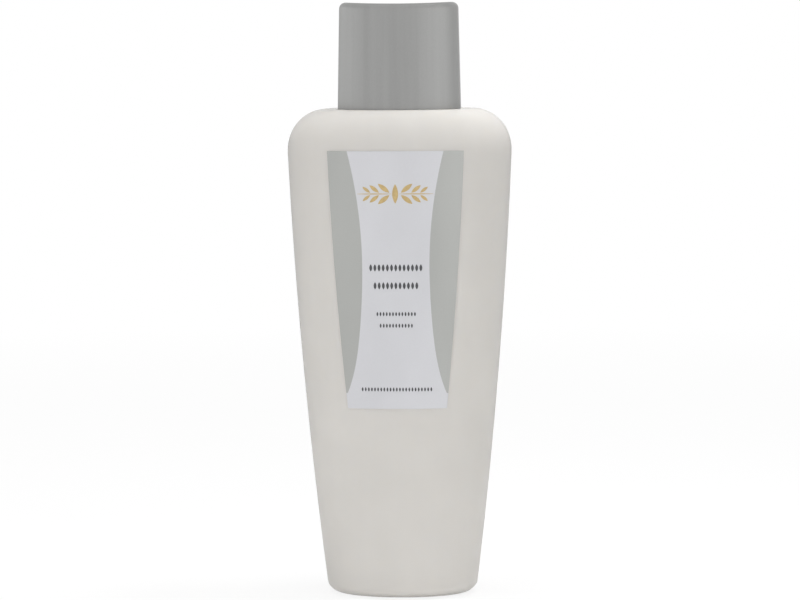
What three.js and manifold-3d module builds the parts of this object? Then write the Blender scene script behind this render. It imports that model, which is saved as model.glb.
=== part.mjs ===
// Tapered oval bottle with a screw cap, for nail polish remover. Millimetres, +Z up.
// The origin is the middle of the base, the label faces -Y, and the cap turns about the Z axis.
import * as THREE from "three";
import { mergeVertices } from "three/addons/utils/BufferGeometryUtils.js";
import Module from "manifold-3d";

const wasm = await Module();
wasm.setup();

// Driving dimensions

const RING_POINTS = 48; // points round each lofted section
const TURN_STEPS = 36; // facets round each turned piece
const FIT_GAP = 0.3; // clearance between pieces that bear on each other
const ROUND = 2; // superellipse power of a circle

// Blow-moulded body. Half sizes are measured in plan from the Z axis.
const BODY = {
  height: 118, // base to the flat top of the shoulder
  wall: 1.0,
  baseSquareness: 2.1, // superellipse power of the plan outline: nearly an ellipse at the base,
  topSquareness: 2.8, // squarer towards the shoulder
  baseHalfWidth: 18.1,
  topHalfWidth: 27.6,
  sideBow: 1.32, // how far the sides swell past a straight taper
  baseHalfDepth: 13.8,
  topHalfDepth: 17.7,
  faceBow: 0.7, // how far the front and back swell past a straight taper
  heelRadius: 2.7, // rounding between the sides and the base
  shoulderHeight: 10.5, // height over which the shoulder rounds in
  shoulderInsetX: 9.7,
  shoulderInsetY: 5.2,
  standingRing: 2.6, // width of the flat ring that the bottle stands on
  pushUp: 1.8, // rise of the base panel inside that ring
  pushUpSlope: 2.4, // width of the slope round the base panel
};

// Neck: heights are above the flat top of the shoulder.
const NECK = {
  height: 11.5,
  radius: 7.8,
  bore: 6.2,
  rootFillet: 0.8,
  rimChamfer: 0.3,
  beadRadius: 8.5, // transfer bead near the root, used to grip the bottle while it is filled
  beadHeight: 2.2,
  beadHalf: 0.5,
};

// Press-in plug that narrows the neck to a small pouring hole
const REDUCER = {
  flangeRadius: 7.4,
  flangeThickness: 0.8,
  edgeChamfer: 0.2,
  skirtRadius: 5.75,
  skirtWall: 1.0,
  skirtLength: 7.2,
  skirtTaper: 0.35,
  taperLength: 0.7,
  beadRadius: 5.95, // sealing beads round the skirt
  beadHalf: 0.3,
  beadCount: 2,
  beadPitch: 2.6,
  holeRadius: 2.375,
  dishRadius: 4.6,
  dishDepth: 0.95,
  nozzleRadius: 3.1,
  nozzleDepth: 3.05, // flange top to the lower end of the pouring nozzle
  webThickness: 0.85,
};

// Soft sealing disc held loosely under the crown of the cap's insert
const LINER = { radius: 8.7, thickness: 1.2, chamfer: 0.15 };

// Threaded inner closure that the outer shell of the cap is pressed onto
const INSERT = {
  boreRadius: 9.0, // root of the screw thread
  radius: 9.9,
  crown: 1.2,
  crownChamfer: 0.6,
  footHeight: 1.0, // lower end above the shoulder
  footRadius: 10.2,
  footThickness: 1.0,
  leadIn: 0.5,
  keeperRadius: 8.4, // lip that keeps the sealing disc from dropping out
  keeperHalf: 0.1,
  keeperSlope: 0.3,
  keeperBelowLiner: 0.5,
  splineCount: 16,
  splineRadius: 10.3,
  splineWidth: 0.9,
  splineRoot: 0.3,
  splineTop: 0.9, // how far the splines stop below the crown
};

// Outer shell of the cap
const SHELL = {
  height: 25.5,
  wall: 1.2,
  topWall: 1.4,
  squareness: 2.8,
  rimHalfWidth: 14.9,
  topHalfWidth: 14.4,
  rimHalfDepth: 12.2,
  topHalfDepth: 11.8,
  edgeRadius: 1.7, // rounding of the top edge
  scoop: 0.4, // how far the top dips between its left and right edges
  ribOffsets: [-4.2, 0, 4.2], // moulded ribs that hold the insert
  ribThickness: 1.0,
  ribReach: 13.7, // half the span of a rib, ending inside the wall
  ribFoot: 1.6, // lower end of the ribs above the rim
  ribSink: 0.5, // how far the ribs run into the top
};

// Film label on the front
const LABEL = {
  bottom: 46.5,
  top: 108.4,
  bottomHalfWidth: 11.9,
  topHalfWidth: 16.35,
  sideBow: 0.45, // how far the side edges swell past a straight taper
  thickness: 0.25,
  standoff: 0.15,
  columns: 14,
  rows: 8,
};

// Heights that follow from the stack of pieces on the neck

const rimTop = BODY.height + NECK.height;
const flangeBottom = rimTop + FIT_GAP;
const flangeTop = flangeBottom + REDUCER.flangeThickness;
const linerBottom = flangeTop + FIT_GAP;
const linerTop = linerBottom + LINER.thickness;
const crownBottom = linerTop + FIT_GAP;
const crownTop = crownBottom + INSERT.crown;
const shellRim = BODY.height + FIT_GAP;
const shellTop = shellRim + SHELL.height;

// Materials

const frostedPlastic = new THREE.MeshStandardMaterial({ color: 0xd3d0cb, roughness: 0.5, metalness: 0 });
const silverPlastic = new THREE.MeshStandardMaterial({ color: 0xa2a2a0, roughness: 0.42, metalness: 0.55 });
const labelFilm = new THREE.MeshStandardMaterial({ color: 0xcfced3, roughness: 0.45, metalness: 0.1 });
const whitePlastic = new THREE.MeshStandardMaterial({ color: 0xe9e8e4, roughness: 0.55, metalness: 0 });
const softPlastic = new THREE.MeshStandardMaterial({ color: 0xdfe0dc, roughness: 0.45, metalness: 0 });
const sealFoam = new THREE.MeshStandardMaterial({ color: 0xf1efe9, roughness: 0.85, metalness: 0 });

// Shared geometry helpers

const lerp = THREE.MathUtils.lerp;

function signedPower(value, power) {
  return Math.sign(value) * Math.abs(value) ** power;
}

// One closed section in plan: a superellipse, counter-clockwise seen from above.
function ring(halfWidth, halfDepth, power, z) {
  return Array.from({ length: RING_POINTS }, (_, i) => {
    const angle = (2 * Math.PI * i) / RING_POINTS;
    return new THREE.Vector3(
      halfWidth * signedPower(Math.cos(angle), 2 / power),
      halfDepth * signedPower(Math.sin(angle), 2 / power),
      z,
    );
  });
}

const circle = (radius, z) => ring(radius, radius, ROUND, z);

// A closed skin that starts at one point on the axis, runs through the rings and ends at another.
// Where it climbs, its outside faces away from the axis.
function loft(startZ, rings, endZ) {
  const points = [new THREE.Vector3(0, 0, startZ), ...rings.flat(), new THREE.Vector3(0, 0, endZ)];
  const index = [];
  const at = (ringNumber, i) => 1 + ringNumber * RING_POINTS + (i % RING_POINTS);
  const lastRing = rings.length - 1;
  for (let i = 0; i < RING_POINTS; i++) {
    index.push(0, at(0, i + 1), at(0, i));
    for (let k = 0; k < lastRing; k++) {
      index.push(at(k, i), at(k, i + 1), at(k + 1, i + 1));
      index.push(at(k, i), at(k + 1, i + 1), at(k + 1, i));
    }
    index.push(at(lastRing, i), at(lastRing, i + 1), points.length - 1);
  }
  return new THREE.BufferGeometry().setFromPoints(points).setIndex(index);
}

// A turned piece from a profile of [radius, height] points, up the outside and down the inside.
function turned(profile) {
  const points = profile.map(([radius, z]) => new THREE.Vector2(radius, z));
  return new THREE.LatheGeometry(points, TURN_STEPS).rotateX(Math.PI / 2);
}

function solidOf(geometry) {
  const bare = geometry.clone();
  bare.deleteAttribute("normal");
  bare.deleteAttribute("uv");
  const merged = mergeVertices(bare, 1e-4);
  const triangles = [];
  for (let i = 0; i < merged.index.count; i += 3) {
    const corner = [0, 1, 2].map((k) => merged.index.getX(i + k));
    if (new Set(corner).size === 3) triangles.push(...corner);
  }
  const vertProperties = merged.attributes.position.array;
  return new wasm.Manifold(
    new wasm.Mesh({ numProp: 3, vertProperties, triVerts: new Uint32Array(triangles) }),
  );
}

function joined(...geometries) {
  const whole = geometries.map(solidOf).reduce((a, b) => a.add(b));
  const mesh = whole.getMesh();
  return new THREE.BufferGeometry()
    .setAttribute("position", new THREE.BufferAttribute(mesh.vertProperties, 3))
    .setIndex(new THREE.BufferAttribute(mesh.triVerts, 1));
}

// Bottle body

const swell = (share) => 4 * share * (1 - share);

function halfWidthAt(z) {
  const share = z / BODY.height;
  return lerp(BODY.baseHalfWidth, BODY.topHalfWidth, share) + BODY.sideBow * swell(share);
}

function halfDepthAt(z) {
  const share = z / BODY.height;
  return lerp(BODY.baseHalfDepth, BODY.topHalfDepth, share) + BODY.faceBow * swell(share);
}

const squarenessAt = (z) => lerp(BODY.baseSquareness, BODY.topSquareness, z / BODY.height);

function section(z, insetX, insetY) {
  return ring(halfWidthAt(z) - insetX, halfDepthAt(z) - insetY, squarenessAt(z), z);
}

// Sections from the heel to the edge of the shoulder's flat top, moved inwards by an offset.
function wallSections(offset) {
  const heelSteps = 4;
  const sideSteps = 9;
  const shoulderSteps = 6;
  const heel = BODY.heelRadius - offset;
  const shoulder = BODY.shoulderHeight - offset;
  const sideFoot = BODY.heelRadius;
  const sideTop = BODY.height - BODY.shoulderHeight;
  const sections = [];
  for (let i = 0; i < heelSteps; i++) {
    const angle = (Math.PI / 2) * (i / heelSteps);
    const inset = offset + heel * (1 - Math.sin(angle));
    sections.push(section(offset + heel * (1 - Math.cos(angle)), inset, inset));
  }
  for (let i = 0; i < sideSteps; i++) {
    sections.push(section(lerp(sideFoot, sideTop, i / sideSteps), offset, offset));
  }
  for (let i = 0; i <= shoulderSteps; i++) {
    const angle = (Math.PI / 2) * (i / shoulderSteps);
    const drawnIn = 1 - Math.cos(angle);
    sections.push(
      section(
        sideTop + shoulder * Math.sin(angle),
        offset + (BODY.shoulderInsetX - offset) * drawnIn,
        offset + (BODY.shoulderInsetY - offset) * drawnIn,
      ),
    );
  }
  return sections;
}

// The base panel stands above the ring that carries the bottle.
function baseSections(offset) {
  const ringInset = BODY.heelRadius + BODY.standingRing;
  const panelInset = ringInset + BODY.pushUpSlope;
  const panel = section(0, panelInset, panelInset);
  panel.forEach((point) => (point.z = offset + BODY.pushUp));
  const ringEdge = section(0, ringInset, ringInset);
  ringEdge.forEach((point) => (point.z = offset));
  return [panel, ringEdge];
}

function neckOutside() {
  const root = BODY.height;
  const bead = root + NECK.beadHeight;
  return [
    circle(NECK.radius + NECK.rootFillet, root),
    circle(NECK.radius, root + NECK.rootFillet),
    circle(NECK.radius, bead - 2 * NECK.beadHalf),
    circle(NECK.beadRadius, bead - NECK.beadHalf),
    circle(NECK.beadRadius, bead + NECK.beadHalf),
    circle(NECK.radius, bead + 2 * NECK.beadHalf),
    circle(NECK.radius, rimTop - NECK.rimChamfer),
    circle(NECK.radius - NECK.rimChamfer, rimTop),
  ];
}

function neckInside() {
  const ceiling = BODY.height - BODY.wall;
  return [
    circle(NECK.bore + NECK.rimChamfer, rimTop),
    circle(NECK.bore, rimTop - NECK.rimChamfer),
    circle(NECK.bore, ceiling + NECK.rootFillet),
    circle(NECK.bore + NECK.rootFillet, ceiling),
  ];
}

function bottleBody() {
  const floor = BODY.wall;
  const outside = [...baseSections(0), ...wallSections(0), ...neckOutside()];
  const inside = [...baseSections(floor), ...wallSections(BODY.wall)].reverse();
  return loft(BODY.pushUp, [...outside, ...neckInside(), ...inside], floor + BODY.pushUp);
}

// Orifice reducer

function orificeReducer() {
  const skirtInner = REDUCER.skirtRadius - REDUCER.skirtWall;
  const skirtBottom = flangeBottom - REDUCER.skirtLength;
  const nozzleBottom = flangeTop - REDUCER.nozzleDepth;
  const webBottom = flangeBottom - REDUCER.webThickness;
  const dishBottom = flangeTop - REDUCER.dishDepth;
  const beads = [];
  for (let i = 0; i < REDUCER.beadCount; i++) {
    const middle = skirtBottom + REDUCER.taperLength + REDUCER.beadPitch * (i + 0.5);
    beads.push([REDUCER.skirtRadius, middle - REDUCER.beadHalf]);
    beads.push([REDUCER.beadRadius, middle]);
    beads.push([REDUCER.skirtRadius, middle + REDUCER.beadHalf]);
  }
  const start = [REDUCER.holeRadius, nozzleBottom];
  return turned([
    start,
    [REDUCER.nozzleRadius, nozzleBottom],
    [REDUCER.nozzleRadius, webBottom - REDUCER.webThickness / 2],
    [skirtInner, webBottom],
    [skirtInner, skirtBottom],
    [REDUCER.skirtRadius - REDUCER.skirtTaper, skirtBottom],
    [REDUCER.skirtRadius, skirtBottom + REDUCER.taperLength],
    ...beads,
    [REDUCER.skirtRadius, flangeBottom],
    [REDUCER.flangeRadius, flangeBottom],
    [REDUCER.flangeRadius, flangeTop - REDUCER.edgeChamfer],
    [REDUCER.flangeRadius - REDUCER.edgeChamfer, flangeTop],
    [REDUCER.dishRadius, flangeTop],
    [REDUCER.holeRadius, dishBottom],
    start,
  ]);
}

// Cap

function sealLiner() {
  return turned([
    [0, linerBottom],
    [LINER.radius - LINER.chamfer, linerBottom],
    [LINER.radius, linerBottom + LINER.chamfer],
    [LINER.radius, linerTop - LINER.chamfer],
    [LINER.radius - LINER.chamfer, linerTop],
    [0, linerTop],
  ]);
}

function insertCup() {
  const foot = BODY.height + INSERT.footHeight;
  const keeper = linerBottom - INSERT.keeperBelowLiner;
  const keeperEdge = INSERT.keeperHalf + INSERT.keeperSlope;
  const footStep = INSERT.footRadius - INSERT.radius;
  return turned([
    [0, crownBottom],
    [INSERT.boreRadius, crownBottom],
    [INSERT.boreRadius, keeper + keeperEdge],
    [INSERT.keeperRadius, keeper + INSERT.keeperHalf],
    [INSERT.keeperRadius, keeper - INSERT.keeperHalf],
    [INSERT.boreRadius, keeper - keeperEdge],
    [INSERT.boreRadius, foot + INSERT.leadIn],
    [INSERT.boreRadius + INSERT.leadIn, foot],
    [INSERT.footRadius, foot],
    [INSERT.footRadius, foot + INSERT.footThickness],
    [INSERT.radius, foot + INSERT.footThickness + footStep],
    [INSERT.radius, crownTop - INSERT.crownChamfer],
    [INSERT.radius - INSERT.crownChamfer, crownTop],
    [0, crownTop],
  ]);
}

// Upright splines that bite into the shell's ribs.
function insertSpline(number) {
  const inner = INSERT.radius - INSERT.splineRoot;
  const bottom = BODY.height + INSERT.footHeight + INSERT.footThickness / 2;
  const top = crownTop - INSERT.splineTop;
  const depth = INSERT.splineRadius - inner;
  return new THREE.BoxGeometry(depth, INSERT.splineWidth, top - bottom)
    .translate(inner + depth / 2, 0, (bottom + top) / 2)
    .rotateZ((2 * Math.PI * (number + 0.5)) / INSERT.splineCount);
}

function capInsert() {
  const splines = Array.from({ length: INSERT.splineCount }, (_, i) => insertSpline(i));
  return joined(insertCup(), ...splines);
}

// The top dips towards the middle, as if a wide roller had pressed it from front to back.
const scoopDepth = (x) => SHELL.scoop * (1 - (x / SHELL.topHalfWidth) ** 2);

function scooped(points) {
  points.forEach((point) => (point.z -= scoopDepth(point.x)));
  return points;
}

function shellRing(share, inset, z) {
  return ring(
    lerp(SHELL.rimHalfWidth, SHELL.topHalfWidth, share) - inset,
    lerp(SHELL.rimHalfDepth, SHELL.topHalfDepth, share) - inset,
    SHELL.squareness,
    z,
  );
}

function shellSkin() {
  const edgeSteps = 4;
  const topSteps = 3;
  const wallSteps = 2;
  const wallTop = shellTop - SHELL.edgeRadius;
  const ceiling = shellTop - SHELL.topWall;
  const innerEdge = SHELL.wall + SHELL.edgeRadius / 2;
  const shrink = SHELL.topHalfDepth - SHELL.edgeRadius;
  const ceilingShrink = SHELL.topHalfDepth - innerEdge;
  const rings = [];
  for (let i = 1; i <= topSteps; i++) {
    rings.push(scooped(shellRing(1, innerEdge + ceilingShrink * (1 - i / topSteps), ceiling)));
  }
  rings.push(scooped(shellRing(1, SHELL.wall, ceiling - SHELL.edgeRadius / 2)));
  for (let i = wallSteps - 1; i >= 0; i--) {
    rings.push(shellRing(i / wallSteps, SHELL.wall, lerp(shellRim, wallTop, i / wallSteps)));
  }
  for (let i = 0; i < wallSteps; i++) {
    rings.push(shellRing(i / wallSteps, 0, lerp(shellRim, wallTop, i / wallSteps)));
  }
  for (let i = 0; i <= edgeSteps; i++) {
    const angle = (Math.PI / 2) * (i / edgeSteps);
    const inset = SHELL.edgeRadius * (1 - Math.cos(angle));
    rings.push(scooped(shellRing(1, inset, wallTop + SHELL.edgeRadius * Math.sin(angle))));
  }
  for (let i = 1; i < topSteps; i++) {
    rings.push(scooped(shellRing(1, SHELL.edgeRadius + shrink * (i / topSteps), shellTop)));
  }
  return loft(ceiling - SHELL.scoop, rings, shellTop - SHELL.scoop);
}

// A moulded rib: an arch from side to side that stands over the insert and follows the scooped top.
function shellRib(offset) {
  const ribTop = (x) => shellTop - SHELL.topWall + SHELL.ribSink - scoopDepth(x);
  const endTop = ribTop(SHELL.ribReach);
  const foot = shellRim + SHELL.ribFoot;
  const clear = INSERT.splineRadius + FIT_GAP;
  const near = Math.max(Math.abs(offset) - SHELL.ribThickness / 2, 0);
  const notch = Math.sqrt(clear ** 2 - near ** 2);
  const notchTop = crownTop + FIT_GAP;
  const outline = new THREE.Shape([
    new THREE.Vector2(-SHELL.ribReach, foot),
    new THREE.Vector2(-notch, foot),
    new THREE.Vector2(-notch, notchTop),
    new THREE.Vector2(notch, notchTop),
    new THREE.Vector2(notch, foot),
    new THREE.Vector2(SHELL.ribReach, foot),
    new THREE.Vector2(SHELL.ribReach, endTop),
  ]);
  outline.quadraticCurveTo(0, 2 * ribTop(0) - endTop, -SHELL.ribReach, endTop);
  const plate = { depth: SHELL.ribThickness, bevelEnabled: false, curveSegments: 6 };
  return new THREE.ExtrudeGeometry(outline, plate)
    .rotateX(Math.PI / 2)
    .translate(0, offset + SHELL.ribThickness / 2, 0);
}

function capShell() {
  return joined(shellSkin(), ...SHELL.ribOffsets.map(shellRib));
}

// Label: a thin film bent to the front of the body

function frontLabel() {
  const film = new THREE.BoxGeometry(2, 1, 1, LABEL.columns, 1, LABEL.rows);
  const place = film.getAttribute("position");
  for (let i = 0; i < place.count; i++) {
    const share = place.getZ(i) + 0.5;
    const z = lerp(LABEL.bottom, LABEL.top, share);
    const half = lerp(LABEL.bottomHalfWidth, LABEL.topHalfWidth, share) + LABEL.sideBow * swell(share);
    const x = place.getX(i) * half;
    const power = squarenessAt(z);
    const across = Math.abs(x) / halfWidthAt(z);
    const face = halfDepthAt(z) * (1 - across ** power) ** (1 / power);
    const proud = LABEL.standoff + LABEL.thickness * (0.5 - place.getY(i));
    place.setXYZ(i, x, -face - proud, z);
  }
  return film;
}

// Assembly

function piece(name, geometry, material) {
  const mesh = new THREE.Mesh(geometry, material);
  mesh.name = name;
  return mesh;
}

const bottle = new THREE.Group().add(
  piece("bottle_body", bottleBody(), frostedPlastic),
  piece("orifice_reducer", orificeReducer(), softPlastic),
  piece("front_label", frontLabel(), labelFilm),
);
const cap = new THREE.Group().add(
  piece("cap_shell", capShell(), silverPlastic),
  piece("cap_insert", capInsert(), whitePlastic),
  piece("seal_liner", sealLiner(), sealFoam),
);

export default new THREE.Group().add(bottle, cap);
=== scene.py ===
import math

import bpy
from mathutils import Matrix, Vector


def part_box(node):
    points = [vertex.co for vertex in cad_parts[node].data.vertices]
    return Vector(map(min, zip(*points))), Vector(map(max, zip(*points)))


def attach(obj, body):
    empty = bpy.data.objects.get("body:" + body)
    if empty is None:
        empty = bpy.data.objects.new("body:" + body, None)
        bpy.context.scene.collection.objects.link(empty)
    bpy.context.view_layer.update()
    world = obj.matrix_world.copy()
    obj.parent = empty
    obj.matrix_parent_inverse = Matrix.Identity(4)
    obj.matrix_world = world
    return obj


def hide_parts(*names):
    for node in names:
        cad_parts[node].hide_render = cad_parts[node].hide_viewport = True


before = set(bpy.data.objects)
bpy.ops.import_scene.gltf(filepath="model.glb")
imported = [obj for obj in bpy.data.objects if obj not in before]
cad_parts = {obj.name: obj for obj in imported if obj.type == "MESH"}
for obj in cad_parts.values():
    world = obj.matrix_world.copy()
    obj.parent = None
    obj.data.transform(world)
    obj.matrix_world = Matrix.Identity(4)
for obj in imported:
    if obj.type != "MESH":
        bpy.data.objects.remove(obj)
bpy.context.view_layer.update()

# Tapered oval bottle with a screw cap. Shapes are written in millimetres in the frame of the packed
# solids: +Z up, the label facing -Y, the neck and cap on the Z axis.

MM = 0.001
TURN = 2 * math.pi
SHARP_EDGE = math.radians(38)

# Driving dimensions of the body

BODY_HEIGHT = 118.0  # base to the flat top of the shoulder
WALL = 1.0
BASE_SQUARENESS = 2.1  # superellipse power of the plan outline at the base
TOP_SQUARENESS = 2.8
BASE_HALF_WIDTH = 18.1
TOP_HALF_WIDTH = 27.6
SIDE_BOW = 1.32
BASE_HALF_DEPTH = 13.8
TOP_HALF_DEPTH = 17.7
FACE_BOW = 0.7
HEEL_RADIUS = 2.7
SHOULDER_HEIGHT = 10.5
SHOULDER_INSET_X = 9.7
SHOULDER_INSET_Y = 5.2
STANDING_RING = 2.6
PUSH_UP = 1.8
PUSH_UP_SLOPE = 2.4
DRAWN_IN = 0.06  # how far the faces lie inside the outline of the solid
SEAM_HEIGHT = 0.05  # parting line of the two mould halves, above the faces
SEAM_HALF_ANGLE = 0.55  # degrees round the body
SEAM_STEPS = 3  # points over each half of the parting line
BODY_FACETS = 160

# Neck and thread

NECK_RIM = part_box("bottle_body")[1].z / MM
NECK_RADIUS = 7.8
NECK_BORE = 6.2
NECK_ROOT = 0.8  # fillet at the foot of the neck
NECK_ROUND = 0.3  # rounding of the rim
NECK_BEAD = 0.7  # how far the transfer bead stands proud
NECK_BEAD_MIDDLE = BODY_HEIGHT + 2.2
NECK_BEAD_HALF = 1.0
THREAD_LEAD = 6.35
THREAD_STARTS = 2
THREAD_HEIGHT = 0.85
THREAD_HALF_FOOT = 0.75  # half the width of the ridge at its root
THREAD_HALF_CREST = 0.3
THREAD_RUN_OUT = 0.07  # share of a turn over which a ridge rises from nothing
THREAD_STEP = 0.16  # height between the rings that carry a thread
NECK_THREAD_FOOT = BODY_HEIGHT + 4.6
NECK_THREAD_TURNS = (0.0, 0.86)
CAP_THREAD_DROP = 1.02  # the cap's ridges lie this far under the neck's
CAP_THREAD_TURNS = (0.1, 0.78)

# Pieces in the mouth and under the cap

PLUG_BOTTOM_GAP = 0.3
PLUG_LOW, PLUG_HIGH = (corner.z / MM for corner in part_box("orifice_reducer"))
SEAL_LOW, SEAL_HIGH = (corner.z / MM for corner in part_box("seal_liner"))
SEAL_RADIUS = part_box("seal_liner")[1].x / MM
CUP_LOW, CUP_HIGH = (corner.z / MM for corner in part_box("cap_insert"))

# Cap cover

COVER_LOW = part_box("cap_shell")[0].z / MM
COVER_HEIGHT = 25.49
COVER_SQUARENESS = 2.8
COVER_WALL = 1.2
COVER_TOP_WALL = 1.4
COVER_RIM_HALF_WIDTH = 14.9
COVER_TOP_HALF_WIDTH = 14.4
COVER_RIM_HALF_DEPTH = 12.2
COVER_TOP_HALF_DEPTH = 11.8
COVER_EDGE = 1.7  # rounding of the top edge
COVER_RIM_ROUND = 0.06  # rounding of the rim
COVER_RIM_DROP = 0.28  # how far the rim reaches below the solid's, close to the shoulder
COVER_SCOOP = 0.4  # dip of the top between its left and right edges
RIB_OFFSETS = (-4.2, 0.0, 4.2)
RIB_THICKNESS = 1.0
RIB_REACH = 13.7
RIB_FOOT = 1.6
RIB_SINK = 0.5

# Label

LABEL_LOW = 46.5
LABEL_HIGH = 108.4
LABEL_LOW_HALF_WIDTH = 11.9
LABEL_HIGH_HALF_WIDTH = 16.35
LABEL_SIDE_BOW = 0.45
LABEL_STANDOFF = 0.02
LABEL_THICKNESS = 0.06
PANEL_WAIST_Z = 80.5  # the pale panel is narrowest here
PANEL_WAIST = 8.05
PANEL_HIGH_HALF_WIDTH = 11.57
BAND_TIP_Z = 49.6  # where the grey bands have run out
LEAST_BAND = 0.05  # width of a band at its tip


# Mesh helpers

def clamp(value):
    return max(0.0, min(1.0, value))


def lerp(a, b, share):
    return a + (b - a) * share


def ease(share):
    return share * share * (3 - 2 * share)


def mesh_piece(name, points, faces, body, slot, node=None):
    """A smooth-shaded piece from points in millimetres, riding on a CAD body."""
    mesh = bpy.data.meshes.new(name)
    mesh.from_pydata([[value * MM for value in point] for point in points], [], faces)
    mesh.polygons.foreach_set("use_smooth", [True] * len(mesh.polygons))
    mesh.set_sharp_from_angle(angle=SHARP_EDGE)
    piece = bpy.data.objects.new(name, mesh)
    bpy.context.scene.collection.objects.link(piece)
    if body:
        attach(piece, body)
    if node:
        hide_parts(node)
    return piece


def skin(rings, start=None, end=None):
    """Points and faces of a skin through rings of equal length, closed by a point at each end.

    Without those points the last ring joins the first. The outside faces away from the axis where
    the rings climb.
    """
    count = len(rings[0])
    points = [point for ring in rings for point in ring]
    faces = []
    joins = [(k, k + 1) for k in range(len(rings) - 1)]
    if start is None:
        joins.append((len(rings) - 1, 0))
    for low, high in joins:
        for i in range(count):
            j = (i + 1) % count
            faces.append((low * count + i, low * count + j, high * count + j, high * count + i))
    if start is not None:
        last = (len(rings) - 1) * count
        points += [start, end]
        for i in range(count):
            j = (i + 1) % count
            faces.append((len(points) - 2, j, i))
            faces.append((last + i, last + j, len(points) - 1))
    return points, faces


def plan_ring(half_width, half_depth, power, z, angles):
    """A superellipse in plan, with its points at the given angles about the axis."""
    ring = []
    for angle in angles:
        across = abs(math.cos(angle)) / half_width
        along = abs(math.sin(angle)) / half_depth
        radius = (across**power + along**power) ** (-1 / power)
        ring.append((radius * math.cos(angle), radius * math.sin(angle), z))
    return ring


def circle(radius, z, angles, relief=None):
    """A circle in plan; relief(angle, radius, z) gives what is added to its radius."""
    ring = []
    for angle in angles:
        reach = radius + (relief(angle, radius, z) if relief else 0.0)
        ring.append((reach * math.cos(angle), reach * math.sin(angle), z))
    return ring


def even_angles(count):
    return [TURN * i / count for i in range(count)]


def run(start, end, step):
    """Points of a profile from start towards end, without end, no further apart than step."""
    count = max(1, math.ceil((Vector(end) - Vector(start)).length / step))
    return [tuple(Vector(start).lerp(Vector(end), i / count)) for i in range(count)]


def rounded(profile, radius, steps=4):
    """A closed profile of (radius, height) points with its corners rounded as far as they allow."""
    half_side = 0.45
    points = []
    for i, place in enumerate(profile):
        corner = Vector(place)
        back = Vector(profile[i - 1]) - corner
        onward = Vector(profile[(i + 1) % len(profile)]) - corner
        reach = min(radius, half_side * back.length, half_side * onward.length)
        first = corner + back.normalized() * reach
        last = corner + onward.normalized() * reach
        for k in range(steps + 1):
            share = k / steps
            points.append(first.lerp(corner, share).lerp(corner.lerp(last, share), share))
    return points


def thread_share(angle, z, foot, turns):
    """Share of the full thread height at a point of a cylinder; the ridges are right-handed."""
    best = 0.0
    for start in range(THREAD_STARTS):
        turn = angle / TURN + start / THREAD_STARTS
        turn += round((z - foot) / THREAD_LEAD - turn)
        offset = abs(z - foot - THREAD_LEAD * turn)
        flank = (THREAD_HALF_FOOT - offset) / (THREAD_HALF_FOOT - THREAD_HALF_CREST)
        run_out = min(turn - turns[0], turns[1] - turn) / THREAD_RUN_OUT
        best = max(best, ease(clamp(flank)) * ease(clamp(run_out)))
    return best


# Bottle

def body_half_width(z):
    share = z / BODY_HEIGHT
    return lerp(BASE_HALF_WIDTH, TOP_HALF_WIDTH, share) + SIDE_BOW * 4 * share * (1 - share)


def body_half_depth(z):
    share = z / BODY_HEIGHT
    return lerp(BASE_HALF_DEPTH, TOP_HALF_DEPTH, share) + FACE_BOW * 4 * share * (1 - share)


def body_squareness(z):
    return lerp(BASE_SQUARENESS, TOP_SQUARENESS, z / BODY_HEIGHT)


def bottle_angles():
    """Even angles, with more points over the parting line at each side."""
    fine = [SEAM_HALF_ANGLE * k / SEAM_STEPS for k in range(-SEAM_STEPS, SEAM_STEPS + 1)]
    degrees = {round(360 * i / BODY_FACETS, 4) for i in range(BODY_FACETS)}
    for side in (0, 180):
        degrees |= {round((side + step) % 360, 4) for step in fine}
    return [math.radians(angle) for angle in sorted(degrees)]


def base_rings(lift, angles):
    """Base panel, the slope round it and the inner edge of the standing ring."""
    panel_steps = 3
    slope_steps = 10
    foot = HEEL_RADIUS + STANDING_RING
    width = BASE_HALF_WIDTH - foot
    depth = BASE_HALF_DEPTH - foot
    rings = []
    for i in range(1, panel_steps):
        share = i / panel_steps
        size = ((width - PUSH_UP_SLOPE) * share, (depth - PUSH_UP_SLOPE) * share)
        rings.append(plan_ring(*size, BASE_SQUARENESS, lift + PUSH_UP, angles))
    for i in range(slope_steps + 1):
        share = i / slope_steps
        inset = PUSH_UP_SLOPE * (1 - share)
        z = lift + PUSH_UP * (1 - ease(share))
        rings.append(plan_ring(width - inset, depth - inset, BASE_SQUARENESS, z, angles))
    return rings


def wall_rings(offset, angles, fineness):
    """Rings from the heel to the edge of the shoulder's flat top, moved inwards by an offset."""
    heel_steps = 6 * fineness
    side_steps = 16 * fineness
    shoulder_steps = 10 * fineness
    side_top = BODY_HEIGHT - SHOULDER_HEIGHT
    heel = HEEL_RADIUS - offset
    levels = []
    for i in range(heel_steps):
        angle = TURN / 4 * i / heel_steps
        inset = offset + heel * (1 - math.sin(angle))
        levels.append((offset + heel * (1 - math.cos(angle)), inset, inset))
    for i in range(side_steps):
        levels.append((lerp(HEEL_RADIUS, side_top, i / side_steps), offset, offset))
    for i in range(shoulder_steps + 1):
        angle = TURN / 4 * i / shoulder_steps
        drawn_in = 1 - math.cos(angle)
        levels.append((
            side_top + (SHOULDER_HEIGHT - offset) * math.sin(angle),
            lerp(offset, SHOULDER_INSET_X, drawn_in),
            lerp(offset, SHOULDER_INSET_Y, drawn_in),
        ))
    rings = []
    for z, inset_x, inset_y in levels:
        size = (body_half_width(z) - inset_x, body_half_depth(z) - inset_y)
        rings.append(plan_ring(*size, body_squareness(z), z, angles))
    return rings


def seam_share(angle):
    """1 on the parting line and 0 away from it."""
    from_seam = math.degrees(math.asin(min(1.0, abs(math.sin(angle)))))
    return ease(clamp(1 - from_seam / SEAM_HALF_ANGLE))


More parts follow.
